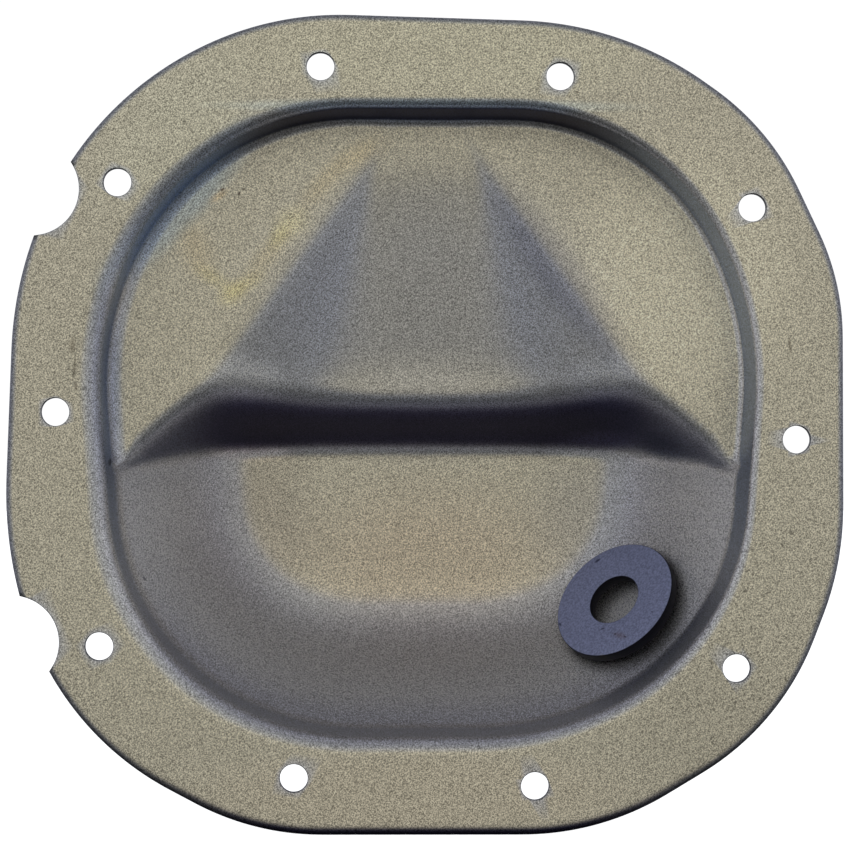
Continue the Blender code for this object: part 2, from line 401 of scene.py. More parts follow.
def outward_normals(ring: Array) -> Array:
    """Unit normals of a closed ring of plan points, pointing out.

    Args:
        ring: its (x, z) points, counterclockwise.

    Returns:
        One normal for each point.
    """
    along = np.roll(ring, -1, axis=0) - np.roll(ring, 1, axis=0)
    normals = np.stack([along[:, 1], -along[:, 0]], axis=1)
    return normals / np.linalg.norm(normals, axis=1)[:, None]


def ring_at(plan: Array, depth: Array | float) -> Array:
    """A ring of points from its (x, z) plan points and its depth below the mating face."""
    return np.column_stack([plan[:, 0], np.broadcast_to(depth, len(plan)), plan[:, 1]])


def patch_areas(surface: Array) -> Array:
    """Area vectors of the patches round the points of a surface that is laid ring by ring."""
    around = np.roll(surface, -1, axis=1) - np.roll(surface, 1, axis=1)
    return np.cross(around, np.gradient(surface, axis=0))


@dataclass(frozen=True)
class PressedCover:
    """The cover as one sheet, from the middle of its inner face round to its outer face.

    The ranges say between which two values a share grows from nothing to full: of a normal's part
    towards the depth or upwards, or of a distance from the wall or from the flange's edge.
    """

    thickness: float = 2.4 * MM
    front_roll_width: float = 3.0 * MM
    front_roll_drop: float = 2.0 * MM
    back_round: float = 0.35 * MM
    flange: RoundedOutline = RoundedOutline(
        (
            (0.0, 141.2 * MM, 83.0 * MM),
            (25.3, 148.6 * MM, 88.0 * MM),
            (54.9, 149.9 * MM, 114.0 * MM),
            (88.5, 138.4 * MM, 106.0 * MM),
            (117.8, 148.9 * MM, 111.0 * MM),
            (154.1, 147.9 * MM, 126.0 * MM),
            (178.0, 140.8 * MM, 136.0 * MM),
            (198.1, 148.2 * MM, 100.0 * MM),
            (241.9, 148.7 * MM, 91.0 * MM),
            (269.8, 137.7 * MM, 95.0 * MM),
            (300.8, 148.4 * MM, 91.0 * MM),
            (338.7, 148.4 * MM, 102.0 * MM),
        )
    )
    dish: RoundedOutline = RoundedOutline(
        (
            (-90.0, 104.6 * MM, 103.0 * MM),
            (-65.0, 111.7 * MM, 81.0 * MM),
            (-4.3, 109.7 * MM, 106.0 * MM),
            (25.0, 117.0 * MM, 79.5 * MM),
            (90.0, 107.0 * MM, 84.0 * MM),
            (155.0, 115.5 * MM, 102.0 * MM),
            (184.3, 108.9 * MM, 81.0 * MM),
            (245.0, 112.4 * MM, 94.0 * MM),
        )
    )
    relief: FloorRelief = FloorRelief()
    flange_bend: float = 5.0 * MM
    foot_bend: float = 3.8 * MM
    left_growth: float = 0.60
    right_growth: float = -0.35
    dome_foot_growth: float = 1.2
    bend_drop: float = 0.17
    slope_start: float = 0.8
    slope_reach: float = 0.5
    notch_centres: tuple[Pair, ...] = ((-133.0 * MM, 79.7 * MM), (-139.3 * MM, -72.7 * MM))
    notch_radius: float = 15.7 * MM
    notch_sides: int = 160
    hole_radius: float = 4.7 * MM
    hole_sides: int = 64
    hole_pattern: tuple[Pair, ...] = (
        (125.1 * MM, 0.0),
        (132.7 * MM, 36.0),
        (126.6 * MM, 71.3),
    )
    hole_pattern_turn: float = -2.1
    hole_chamfer: float = 0.25 * MM
    stations: int = 360
    bend_steps: int = 10
    floor_rings: int = 92
    back_floor_rings: int = 46
    centre_share: float = 1e-5
    flange_shares: tuple[float, ...] = (0.04, 0.35, 0.65, 0.96, 1.0)
    front_roll_steps: int = 8
    back_round_steps: int = 3
    merge_within: float = 0.02 * MM
    smooth_angle: float = 30.0
    cutter_margin: float = 2.0 * MM
    least_patch: float = 0.12
    centre_rings: int = 6
    relax_reach: int = 3
    relax_rounds: int = 14
    # The ranges and shares below place the painted shade and painted light on the sheet.
    inner_range: Pair = (0.05, -0.05)
    tilt_shade_range: Pair = (-0.998, -0.93)
    steep_range: Pair = (-0.90, -0.64)
    wall_range: Pair = (-0.58, -0.12)
    upward_wall: float = 0.48
    upward_wall_range: Pair = (0.0, 0.6)
    under_range: Pair = (-0.45, -0.88)
    wall_under_range: Pair = (-0.76, -0.99)
    wall_zone: Pair = (7.0 * MM, 4.0 * MM)
    foot_range: Pair = (13.0 * MM, 2.5 * MM)
    upward_range: Pair = (0.25, 0.62)
    lit_range: Pair = (-0.50, -0.15)
    lowest_range: Pair = (-0.70, -0.96)
    shaded_rim: Pair = (3.7 * MM, 1.5 * MM)
    edge_shade_reach: Pair = (2.6 * MM, 0.2 * MM)
    lowest_rim_drop: float = 0.8

    def floor_depth(self, plan: Array, wall: Array) -> Array:
        """Depth of the floor's inner face at each plan point inside the wall line."""
        return self.relief.depth(plan, distance_inside(plan, wall))

    def wall_section(self, foot_depth: float, foot_rise: float, growth: float) -> Array:
        """Insets and depths down one section of the wall: flange bend, wall and foot bend.

        Args:
            foot_depth: depth that the floor's line has at the wall line.
            foot_rise: how much deeper the floor gets for each unit of inset.
            growth: how wide the bends are here, against their usual width.

        Returns:
            Rows of (inset, depth), from the flange to the floor.
        """
        wall = math.radians(self.relief.wall_angle)
        middle = self.relief.shelf_depth / 2
        flange_bend = self.flange_bend * growth
        steepness = min(max(foot_rise, 0.0), 1.0)
        foot_bend = self.foot_bend * growth * (1.0 + self.dome_foot_growth * steepness)
        bend_start = -middle / math.tan(wall) - flange_bend * math.tan(wall / 2)
        section = []
        for angle in np.linspace(0.0, wall, self.bend_steps + 1):
            inset = bend_start + flange_bend * math.sin(angle)
            section.append((inset, flange_bend * (1 - math.cos(angle))))
        floor = math.atan(foot_rise)
        meet = (foot_depth - middle) / (math.tan(wall) - foot_rise)
        touch = meet - foot_bend * math.tan((wall - floor) / 2) * math.cos(wall)
        bend_inset = touch + foot_bend * math.sin(wall)
        bend_depth = middle + touch * math.tan(wall) - foot_bend * math.cos(wall)
        for angle in np.linspace(wall, floor, self.bend_steps + 1):
            depth = bend_depth + foot_bend * math.cos(angle)
            section.append((bend_inset - foot_bend * math.sin(angle), depth))
        return np.array(section)

    def inner_rings(self) -> list[Array]:
        """Rings of the inner face, from the dish centre to the start of the flange's rolled edge.

        Returns:
            The rings, from the centre out.
        """
        outline = self.dish.points()
        wall = self.dish.at_equal_angles(self.stations)
        normals = outward_normals(wall)
        sideways = (self.left_growth, 0.0, self.right_growth)
        growth = 1.0 + np.interp(normals[:, 0], (-1.0, 0.0, 1.0), sideways)
        growth -= self.bend_drop * normals[:, 1]
        near = self.relief.foot_inset() + self.slope_start * self.foot_bend
        far = near + self.slope_reach * self.foot_bend
        depth_near = self.floor_depth(wall - near * normals, outline)
        depth_far = self.floor_depth(wall - far * normals, outline)
        rises = (depth_far - depth_near) / (far - near)
        sections = [
            self.wall_section(depth - rise * near, rise, wider)
            for depth, rise, wider in zip(depth_near, rises, growth)
        ]
        levels = []
        for level in zip(*sections):
            insets, depths = np.array(level).T
            levels.append(ring_at(wall - insets[:, None] * normals, depths))
        foot = levels[-1][:, [0, 2]]
        rings = []
        for share in np.linspace(0.0, 1.0, self.floor_rings, endpoint=False):
            plan = foot * max(share, self.centre_share)
            rings.append(ring_at(plan, self.floor_depth(plan, outline)))
        rings.extend(reversed(levels))
        edge = self.flange.at_equal_angles(self.stations)
        roll_start = edge - self.front_roll_width * outward_normals(edge)
        bend_end = rings[-1][:, [0, 2]]
        for share in self.flange_shares:
            rings.append(ring_at(bend_end * (1 - share) + roll_start * share, 0.0))
        return rings

    def rim_rings(self) -> list[Array]:
        """Rings round the flange's edge: rolled over in front, and just broken behind.

        Returns:
            The rings, from the front to the back.
        """
        edge = self.flange.at_equal_angles(self.stations)
        normals = outward_normals(edge)
        rings = []
        for angle in np.linspace(0.0, QUARTER_TURN, self.front_roll_steps + 1)[1:]:
            plan = edge - self.front_roll_width * (1 - math.sin(angle)) * normals
            rings.append(ring_at(plan, self.front_roll_drop * (1 - math.cos(angle))))
        for angle in np.linspace(0.0, QUARTER_TURN, self.back_round_steps + 1):
            plan = edge - self.back_round * (1 - math.cos(angle)) * normals
            rings.append(ring_at(plan, self.thickness - self.back_round * (1 - math.sin(angle))))
        return rings

    def outer_rings(self, inner: Sequence[Array]) -> list[Array]:
        """Rings of the outer face, a sheet's thickness behind the inner one.

        Where a tight bend would make the outer face fold over itself, it is evened out.

        Args:
            inner: the rings of the inner face, from the centre out.

        Returns:
            The rings, from the flange to the dish centre.
        """
        surface = np.array(inner)
        patches = patch_areas(surface)
        normals = patches.copy()
        normals /= np.maximum(np.linalg.norm(normals, axis=2), LEAST_LENGTH)[:, :, None]
        normals *= np.sign(normals[:, :, 1:2])
        normals[0] = normals[2].mean(axis=0) / np.linalg.norm(normals[2].mean(axis=0))
        offset = surface + self.thickness * normals
        kept = np.einsum("ijk,ijk->ij", patch_areas(offset), patches)
        tight = kept < self.least_patch * np.einsum("ijk,ijk->ij", patches, patches)
        tight[: self.centre_rings] = False
        reach = range(-self.relax_reach, self.relax_reach + 1)
        for axis in (0, 1):
            tight = np.any([np.roll(tight, step, axis) for step in reach], axis=0)
        for _ in range(self.relax_rounds):
            beside = [np.roll(offset, step, axis) for axis in (0, 1) for step in (-1, 1)]
            offset[tight] = np.mean(beside, axis=0)[tight]
        floor = np.arange(0, self.floor_rings, self.floor_rings // self.back_floor_rings)
        rest = np.arange(self.floor_rings, len(inner))
        return list(offset[np.concatenate([floor, rest])][::-1])

    def sheet(self) -> Piece:
        """The closed sheet: a grid whose rows are laid ring by ring and whose sides are joined.

        Returns:
            The sheet, without its holes.
        """
        inner = self.inner_rings()
        rings = np.array([*inner, *self.rim_rings(), *self.outer_rings(inner)])
        closed = np.concatenate([rings, rings[:, :1]], axis=1)
        deselect()
        bpy.ops.mesh.primitive_grid_add(
            x_subdivisions=self.stations, y_subdivisions=len(rings) - 1, size=1.0
        )
        piece = bpy.context.object
        piece.name = "cover_sheet"
        piece.data.vertices.foreach_set("co", closed.astype(np.float32).ravel())
        piece.data.update()
        bpy.ops.object.mode_set(mode="EDIT")
        bpy.ops.mesh.select_all(action="SELECT")
        bpy.ops.mesh.remove_doubles(threshold=self.merge_within)
        bpy.ops.mesh.normals_make_consistent(inside=False)
        bpy.ops.mesh.select_all(action="DESELECT")
        bpy.ops.object.mode_set(mode="OBJECT")
        deselect()
        return piece

    def punch(self, name: str, centre: Pair, radius: float, sides: int) -> Piece:
        """A punch through the flange that also breaks both edges of its hole.

        Args:
            name: the punch's name.
            centre: (x, z) of its axis.
            radius: the hole's radius.
            sides: how many sides the punch has.

        Returns:
            The punch, which is removed after the cut.
        """
        deselect()
        bpy.ops.mesh.primitive_cylinder_add(
            vertices=sides,
            radius=radius,
            depth=self.thickness - 2 * self.hole_chamfer,
            location=(centre[0], self.thickness / 2, centre[1]),
            rotation=(QUARTER_TURN, 0.0, 0.0),
        )
        tool = bpy.context.object
        tool.name = name
        settle(tool)
        choose(tool)
        reach = self.hole_chamfer + self.cutter_margin
        growth = (radius + reach) / radius
        for side in (-1.0, 1.0):
            bpy.ops.object.mode_set(mode="EDIT")
            bpy.ops.mesh.select_all(action="DESELECT")
            bpy.ops.object.mode_set(mode="OBJECT")
            for face in tool.data.polygons:
                face.select = face.normal.y * side > END_FACING
            bpy.ops.object.mode_set(mode="EDIT")
            outwards = {"value": (0.0, side * reach, 0.0)}
            bpy.ops.mesh.extrude_region_move(TRANSFORM_OT_translate=outwards)
            bpy.ops.transform.resize(
                value=(growth, 1.0, growth),
                center_override=(centre[0], self.thickness / 2, centre[1]),
            )
            bpy.ops.object.mode_set(mode="OBJECT")
        deselect()
        return tool

    def hole_centres(self) -> list[Pair]:
        """The ten bolt centres, from one quarter of the pattern.

        Returns:
            The (x, z) place of each hole.
        """
        centres = []
        for distance, angle in self.hole_pattern:
            turns = (0.0, 180.0) if angle == 0.0 else (angle, 180.0 - angle, 180.0 + angle, -angle)
            for turn in turns:
                direction = math.radians(turn + self.hole_pattern_turn)
                centres.append((distance * math.cos(direction), distance * math.sin(direction)))
        return centres

    def build(self) -> Piece:
        """Makes the cover piece: the sheet with its bolt holes and edge reliefs punched.

        Returns:
            The piece, without a material.
        """
        piece = self.sheet()
        tools = [
            self.punch(f"bolt_punch_{index}", centre, self.hole_radius, self.hole_sides)
            for index, centre in enumerate(self.hole_centres())
        ]
        tools += [
            self.punch(f"relief_punch_{index}", centre, self.notch_radius, self.notch_sides)
            for index, centre in enumerate(self.notch_centres)
        ]
        for tool in tools:
            cut = piece.modifiers.new(tool.name, "BOOLEAN")
            cut.operation = "DIFFERENCE"
            cut.solver = "EXACT"
            cut.object = tool
            apply_modifier(piece, tool.name)
            bpy.data.objects.remove(tool)
        smooth(piece, self.smooth_angle)
        self.store_masks(piece)
        return piece

    def store_masks(self, piece: Piece) -> None:
        """Marks where to paint shade and light on the sheet: where it tilts away from the front,
        slopes steeply, looks down, nears the wall's foot or the flange's edge, and where it is cut;
        and marks its inner face.

        Args:
            piece: the cover piece.
        """
        places = point_places(piece.data)
        plan = places[:, [0, 2]]
        _, facing, up = point_normals(piece.data).T
        to_wall = distance_inside(plan, self.dish.points())
        to_edge = distance_inside(plan, self.flange.points())
        by_wall = smooth_share(to_wall, *self.wall_zone)
        lowest = smooth_share(plan[:, 1] / np.hypot(plan[:, 0], plan[:, 1]), *self.lowest_range)
        inner = smooth_share(facing, *self.inner_range)
        store(piece, Mask.INNER, inner)
        # Painted shade where the face tilts away from the front.
        store(piece, Mask.TILT_SHADE, smooth_share(facing, *self.tilt_shade_range))
        # Painted light on steeply sloping sides that do not look down.
        lit = smooth_share(up, *self.lit_range)
        store(piece, Mask.STEEP_LIGHT, lit * smooth_share(facing, *self.steep_range))
        # Painted shade on the walls, less where they look up.
        less = 1.0 - self.upward_wall * smooth_share(up, *self.upward_wall_range)
        store(piece, Mask.WALL, inner * (smooth_share(facing, *self.wall_range) * less))
        # Painted shade by the wall's foot, on faces that look up.
        foot = smooth_share(to_wall, *self.foot_range) * smooth_share(up, *self.upward_range)
        store(piece, Mask.FOOT_SHADE, inner * foot)
        # Painted shade on faces that look down, and along the flange's lowest edge.
        step_under = smooth_share(up, *self.under_range)
        wall_under = smooth_share(up, *self.wall_under_range)
        under = inner * (step_under * (1.0 - by_wall) + wall_under * by_wall)
        shaded = inner * lowest * smooth_share(to_edge, *self.shaded_rim)
        store(piece, Mask.UNDER_SHADE, np.maximum(under, shaded))
        # Painted shade along the flange's rolled edge, less at its lowest part.
        edge_shade = smooth_share(to_edge, *self.edge_shade_reach)
        store(piece, Mask.RIM_SHADE, inner * edge_shade * (1.0 - self.lowest_rim_drop * lowest))
        # Painted shade in the punched hole walls.
        holes = self.hole_centres()
        bores = np.array([*holes, *self.notch_centres])
        counts = (len(holes), len(self.notch_centres))
        radii = np.repeat((self.hole_radius, self.notch_radius), counts)
        gaps = np.linalg.norm(plan[:, None] - bores[None], axis=2) - radii[None]
        store(piece, Mask.CUT, (gaps.min(axis=1) < self.hole_chamfer / 2).astype(float))


@dataclass(frozen=True)
class RingMagnet:
    """The ferrite ring: a turned section with broken edges, lying where the solid lies."""

    outer: float = 23.0 * MM
    inner: float = 9.5 * MM
    thickness: float = 4.2 * MM
    edge: float = 0.45 * MM
    edge_steps: int = 4
    sides: int = 128
    merge_within: float = 0.01 * MM
    smooth_angle: float = 35.0
    face_range: Pair = (0.75, 0.97)

    def seat(self) -> Matrix:
        """Where the solid lies: its middle, with +Z along its axis towards the viewer.

        Returns:
            The move that takes a ring at the origin to its seat.
        """
        points = point_places(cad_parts[CadNode.MAGNET.value].data)
        centre = (points.max(axis=0) + points.min(axis=0)) / 2
        _, _, axes = np.linalg.svd(points - points.mean(axis=0), full_matrices=False)
        axis = Vector(axes[2])
        if axis.y > 0:
            axis = -axis
        turn = axis.to_track_quat("Z", "Y").to_matrix().to_4x4()
        return Matrix.Translation(Vector(centre)) @ turn

    def build(self) -> Piece:
        """Makes the ring from a tube's section, spun about its own axis.

        Returns:
            The piece, without a material.
        """
        deselect()
        bpy.ops.mesh.primitive_plane_add(
            size=1.0, location=(0.0, 0.0, 0.0), rotation=(QUARTER_TURN, 0.0, 0.0)
        )
        piece = bpy.context.object
        piece.name = "magnet_ring"
        piece.scale = (self.outer - self.inner, self.thickness, 1.0)
        piece.location = ((self.outer + self.inner) / 2, 0.0, 0.0)
        settle(piece)
        choose(piece)
        bpy.ops.object.mode_set(mode="EDIT")
        bpy.ops.mesh.select_all(action="SELECT")
        bpy.ops.mesh.bevel(offset=self.edge, segments=self.edge_steps, affect="VERTICES")
        bpy.ops.mesh.select_all(action="SELECT")
        bpy.ops.mesh.delete(type="ONLY_FACE")
        bpy.ops.mesh.select_all(action="SELECT")
        bpy.ops.mesh.spin(
            steps=self.sides, angle=4 * QUARTER_TURN, center=(0.0, 0.0, 0.0), axis=(0.0, 0.0, 1.0)
        )
        bpy.ops.mesh.select_all(action="SELECT")
        bpy.ops.mesh.remove_doubles(threshold=self.merge_within)
        bpy.ops.mesh.normals_make_consistent(inside=False)
        bpy.ops.object.mode_set(mode="OBJECT")
        deselect()
        smooth(piece, self.smooth_angle)
        # Marks the front face, where the material paints sheen; the other faces get painted shade.
        store(piece, Mask.FACE, smooth_share(point_normals(piece.data)[:, 2], *self.face_range))
        piece.data.transform(self.seat())
        return piece


@dataclass
class Palette:
    """A material's nodes, with short ways to add and join them."""

    tree: NodeTree

    def add(self, kind: str, **settings: Any) -> Node:
        """Adds a node and sets its own properties.

        Args:
            kind: the node's type.
            settings: its properties by name.

        Returns:
            The new node.
        """
        node = self.tree.nodes.new(kind)
        for name, value in settings.items():
            setattr(node, name, value)
        return node

    def join(self, source: Socket, target: Socket) -> None:
        """Links an output to an input."""
        self.tree.links.new(source, target)

    def give(self, value: Socket | Colour | float, target: Socket) -> None:
        """Links an output to an input, or sets the input to a number or a colour.

        Args:
            value: the output, the number or the colour.
            target: the input.
        """
        if isinstance(value, Socket):
            self.join(value, target)
        else:
            target.default_value = value if isinstance(value, float) else (*value, 1.0)

    def mask(self, mask: Mask) -> Socket:
        """A share kept on the piece's points."""
        return self.add("ShaderNodeAttribute", attribute_name=mask.value).outputs["Fac"]

    def turned(self, place: Socket) -> Socket:
        """Places turned askew, so that no flat face lies along a noise pattern's own grid.

        Args:
            place: the place on the piece.

        Returns:
            The turned place.
        """
        node = self.add("ShaderNodeMapping")
        node.inputs["Rotation"].default_value = PATTERN_TURN
        self.join(place, node.inputs["Vector"])
        return node.outputs["Vector"]

    def grey(self, value: Socket) -> Socket:
        """A grey of this brightness.

        Args:
            value: the brightness.

        Returns:
            The socket with the grey.
        """
        node = self.add("ShaderNodeCombineColor")
        for channel in ("Red", "Green", "Blue"):
            self.join(value, node.inputs[channel])
        return node.outputs["Color"]

    def noise(self, place: Socket, scale: Socket | float, detail: float) -> Socket:
        """A noise pattern with this many features to the metre.

        Args:
            place: the place on the piece.
            scale: how many features there are to the metre.
            detail: how many finer layers it has.

        Returns:
            The socket with the pattern, around one half.
        """
        node = self.add("ShaderNodeTexNoise")
        self.give(scale, node.inputs["Scale"])
        node.inputs["Detail"].default_value = detail
        self.join(place, node.inputs["Vector"])
        return node.outputs["Fac"]

    def remap(self, value: Socket, start: Range, end: Range) -> Socket:
        """Maps a value from one range to another, with smooth ends.

        Args:
            value: the socket that gives the value.
            start: the two ends of its own range.
            end: what they turn into.

        Returns:
            The socket with the mapped value.
        """
        node = self.add("ShaderNodeMapRange", interpolation_type="SMOOTHSTEP")
        names = ("From Min", "From Max", "To Min", "To Max")
        for name, given in zip(names, (*start, *end)):
            self.give(given, node.inputs[name])
        self.join(value, node.inputs["Value"])
        return node.outputs["Result"]

    def mix(
        self,
        share: Socket | float,
        first: Socket | Colour,
        second: Socket | Colour,
        blend: Blend = Blend.MIX,
    ) -> Socket:
        """Mixes two colours.

        Args:
            share: how much of the second is taken.
            first: the first colour, or a socket that gives it.
            second: the second one.
            blend: how they are mixed.

        Returns:
            The socket with the mixed colour.
        """
        node = self.add("ShaderNodeMix", data_type="RGBA", blend_type=blend.value)
        for value, socket in zip((share, first, second), MIX_INPUTS):
            self.give(value, node.inputs[socket])
        return node.outputs[MIX_OUTPUT]


def new_group(
    name: str, takes: dict[str, str], gives: tuple[str, str]
) -> tuple[Palette, Node, Node]:
    """Starts a node group.

    Args:
        name: the group's name.
        takes: the kind of each input by its name.
        gives: the output's name and kind.

    Returns:
        The group's palette, its input node and its output node.
    """
    group = bpy.data.node_groups.new(name, "ShaderNodeTree")
    for socket, kind in takes.items():
        group.interface.new_socket(socket, in_out="INPUT", socket_type=f"NodeSocket{kind}")
    group.interface.new_socket(gives[0], in_out="OUTPUT", socket_type=f"NodeSocket{gives[1]}")
    book = Palette(group)
    return book, book.add("NodeGroupInput"), book.add("NodeGroupOutput")


def soft_spot_group() -> NodeTree:
    """Makes the node group that gives the share of a soft round or oval spot at each place.

    Returns:
        The group.
    """
    takes = {name: "Vector" for name in ("Place", "Centre", "Turn", "Size")} | {"Core": "Float"}
    book, given, result = new_group("soft_spot", takes, ("Share", "Float"))
    fitted = book.add("ShaderNodeMapping", vector_type="TEXTURE")
    for name, target in zip(takes, ("Vector", "Location", "Rotation", "Scale")):
        book.join(given.outputs[name], fitted.inputs[target])
    distance = book.add("ShaderNodeVectorMath", operation="LENGTH")
    book.join(fitted.outputs["Vector"], distance.inputs[0])
    share = book.remap(distance.outputs["Value"], (1.0, given.outputs["Core"]), (0.0, 1.0))
    book.join(share, result.inputs["Share"])
    return book.tree


def grain_group() -> NodeTree:
    """Makes the node group that breaks a colour up with a fine grain.

    Returns:
        The group.
    """
    takes = {"Place": "Vector", "Base": "Color"}
    takes |= {name: "Float" for name in ("Fineness", "Darkest", "Lightest")}
    book, given, result = new_group("fine_grain", takes, ("Colour", "Color"))
    place, base, fineness, darkest, lightest = (given.outputs[name] for name in takes)
    pattern = book.noise(book.turned(place), fineness, GRAIN_DETAIL)
    light = book.remap(pattern, GRAIN_RANGE, (darkest, lightest))
    book.join(book.mix(1.0, base, book.grey(light), Blend.MULTIPLY), result.inputs["Colour"])
    return book.tree


def new_material(name: str) -> tuple[Material, Palette, Node]:
    """Starts a material.

    Args:
        name: the material's name.

    Returns:
        The material, its palette and its main shader.
    """
    made = bpy.data.materials.new(name)
    made.use_nodes = True
    return made, Palette(made.node_tree), made.node_tree.nodes["Principled BSDF"]


@dataclass(frozen=True)
class Effects:
    """The node groups that both finishes use."""

    spot: NodeTree
    grain: NodeTree


@dataclass(frozen=True)
class Making:
    """A material in the making: its palette, the shared node groups and the place on the piece."""

    book: Palette
    effects: Effects
    place: Socket


@dataclass(frozen=True)
class Grain:
    """How coarse and how strong a surface's grain is."""

    size: float
    contrast: float

    def lay(self, making: Making, base: Socket) -> Socket:
        """Breaks a colour up with the grain.

        Args:
            making: the material in the making.
            base: the colour under the grain.

        Returns:
            The socket with the broken colour.
        """
        node = making.book.add("ShaderNodeGroup", node_tree=making.effects.grain)
        making.book.join(making.place, node.inputs["Place"])
        making.book.join(base, node.inputs["Base"])
        node.inputs["Fineness"].default_value = 1.0 / self.size
        node.inputs["Darkest"].default_value = 1.0 - self.contrast
        node.inputs["Lightest"].default_value = 1.0 + self.contrast
        return node.outputs["Colour"]


@dataclass(frozen=True)
class SoftSpot:
    """A soft oval seen from the front whose colour multiplies what lies under it: a stain, a mark,
    a chip, pitting, or a spot of painted light or shade.

    Its place and its half sizes are in millimetres, and its turn is in degrees.
    """

    place: Pair
    size: Pair
    tint: Colour = (1.0, 1.0, 1.0)
    turn: float = 0.0
    core: float = 0.0

    def lay(self, making: Making, base: Socket) -> Socket:
        """Tints a colour with the spot."""
        return making.book.mix(self.share(making), base, self.tint, Blend.MULTIPLY)

    def share(self, making: Making) -> Socket:
        """The spot's share at each place, from 0 outside it to 1 in its core.

        Args:
            making: the material in the making.

        Returns:
            The socket with the share.
        """
        node = making.book.add("ShaderNodeGroup", node_tree=making.effects.spot)
        making.book.join(making.place, node.inputs["Place"])
        node.inputs["Centre"].default_value = (self.place[0] * MM, 0.0, self.place[1] * MM)
        node.inputs["Turn"].default_value = (0.0, -math.radians(self.turn), 0.0)
        node.inputs["Size"].default_value = (self.size[0] * MM, SPOT_DEPTH, self.size[1] * MM)
        node.inputs["Core"].default_value = self.core
        return node.outputs["Share"]


